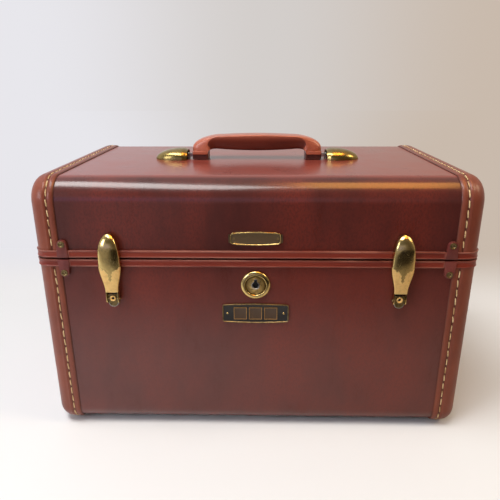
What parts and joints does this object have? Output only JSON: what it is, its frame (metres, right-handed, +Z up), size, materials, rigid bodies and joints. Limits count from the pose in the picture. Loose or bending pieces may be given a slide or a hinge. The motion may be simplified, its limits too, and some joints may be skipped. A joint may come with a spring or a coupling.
{
  "type": "cosmetic train case",
  "caption": "Hard cosmetic train case with stitched leather ends, back-hinged lid, draw latches, turning key lock, lifting handle and lift-out tray.",
  "frame": {"origin": "middle of the overall box's underside, on the plane that the feet stand on", "axes": "+X along the case to the right as seen from the front, -Y towards the front, +Z up"},
  "size_m": [0.33, 0.207, 0.2279],
  "materials": {
    "cover": "semi-gloss mottled oxblood covering",
    "end_leather": "smooth tan-brown leather",
    "moulding": "reddish-brown moulding with worn edges",
    "strap_leather": "leather strap",
    "grip_leather": "handled tan leather",
    "ferrule": "dark leather end",
    "aged_brass": "tarnished",
    "brass": "polished, worn",
    "steel": "plain",
    "plate": "black field, brass rim",
    "tile": "brass tile",
    "lining": "quilted satin",
    "tongue": "covered strip",
    "mirror": "silvered glass",
    "tray": "moulded tray"
  },
  "bodies": {
    "base": {"base_wrap": "cover", "base_end_left": "end_leather", "base_end_right": "end_leather", "base_trim_front": "moulding", "base_trim_back": "moulding", "base_strap_left": "strap_leather", "base_strap_right": "strap_leather", "base_tab_rivets_left": "aged_brass", "base_tab_rivets_right": "aged_brass", "base_tongue": "tongue", "base_lining": "lining", "tray_ledges": "tongue", "feet": "brass", "latch_plates": "brass", "latch_pins": "steel", "latch_rivets": "brass", "latch_springs": "steel", "lock_bezel": "brass", "lock_case": "steel", "name_plate": "plate", "name_tiles": "tile", "name_plate_pins": "brass", "hinge_base_leaves": "brass", "hinge_pins": "steel", "hinge_base_rivets": "brass"},
    "lid": {"lid_wrap": "cover", "lid_end_left": "end_leather", "lid_end_right": "end_leather", "lid_trim_front": "moulding", "lid_trim_back": "moulding", "lid_strap_left": "strap_leather", "lid_strap_right": "strap_leather", "lid_tab_rivets_left": "aged_brass", "lid_tab_rivets_right": "aged_brass", "lid_lining": "lining", "mirror_glass": "mirror", "mirror_frame": "brass", "front_badge": "aged_brass", "badge_pins": "aged_brass", "latch_keepers": "brass", "lock_staple": "steel", "hinge_lid_leaves": "brass", "hinge_lid_rivets": "brass", "handle_cap_left": "brass", "handle_cap_right": "brass", "handle_brackets": "steel", "handle_bracket_pins": "steel"},
    "handle": {"handle_grip": "grip_leather", "handle_core": "steel", "handle_ferrules": "ferrule", "handle_cross_pins": "steel"},
    "link_left": {"handle_link_left": "steel"},
    "link_right": {"handle_link_right": "steel"},
    "latch_left": {"latch_lever_left": "brass"},
    "latch_right": {"latch_lever_right": "brass"},
    "lock": {"lock_plug": "brass", "lock_cam": "steel", "lock_cam_screw": "steel"},
    "tray": {"tray": "tray", "tray_divider": "tray"}
  },
  "joints": [
    {"name": "lid_hinge", "type": "hinge", "parent": "base", "child": "lid", "pos_m": [0, 0.1005, 0.1478], "axis": [-1, 0, 0], "range_deg": [0, 95]},
    {"name": "latch_left_pivot", "type": "hinge", "parent": "base", "child": "latch_left", "pos_m": [-0.107, -0.0993, 0.1165], "axis": [1, 0, 0], "range_deg": [0, 110]},
    {"name": "latch_right_pivot", "type": "hinge", "parent": "base", "child": "latch_right", "pos_m": [0.107, -0.0993, 0.1165], "axis": [1, 0, 0], "range_deg": [0, 110]},
    {"name": "lock_turn", "type": "hinge", "parent": "base", "child": "lock", "pos_m": [0, -0.0949, 0.127], "axis": [0, 1, 0], "range_deg": [0, 90]},
    {"name": "tray_lift", "type": "slide", "parent": "base", "child": "tray", "axis": [0, 0, 1], "range_m": [0, 0.03]},
    {"name": "handle_lift", "type": "slide", "parent": "lid", "child": "handle", "axis": [0, 0, 1], "range_m": [0, 0.009]},
    {"name": "link_left_pivot", "type": "hinge", "parent": "lid", "child": "link_left", "pos_m": [-0.061, 0.0011, 0.2098], "axis": [0, -1, 0], "range_deg": [0, 36.3]},
    {"name": "link_right_pivot", "type": "hinge", "parent": "lid", "child": "link_right", "pos_m": [0.061, 0.0011, 0.2098], "axis": [0, 1, 0], "range_deg": [0, 36.3]}
  ],
  "couplings": [
    {"joint": "link_left_pivot", "follows": "handle_lift", "rad_per_m": 70.404},
    {"joint": "link_right_pivot", "follows": "handle_lift", "rad_per_m": 70.404}
  ]
}
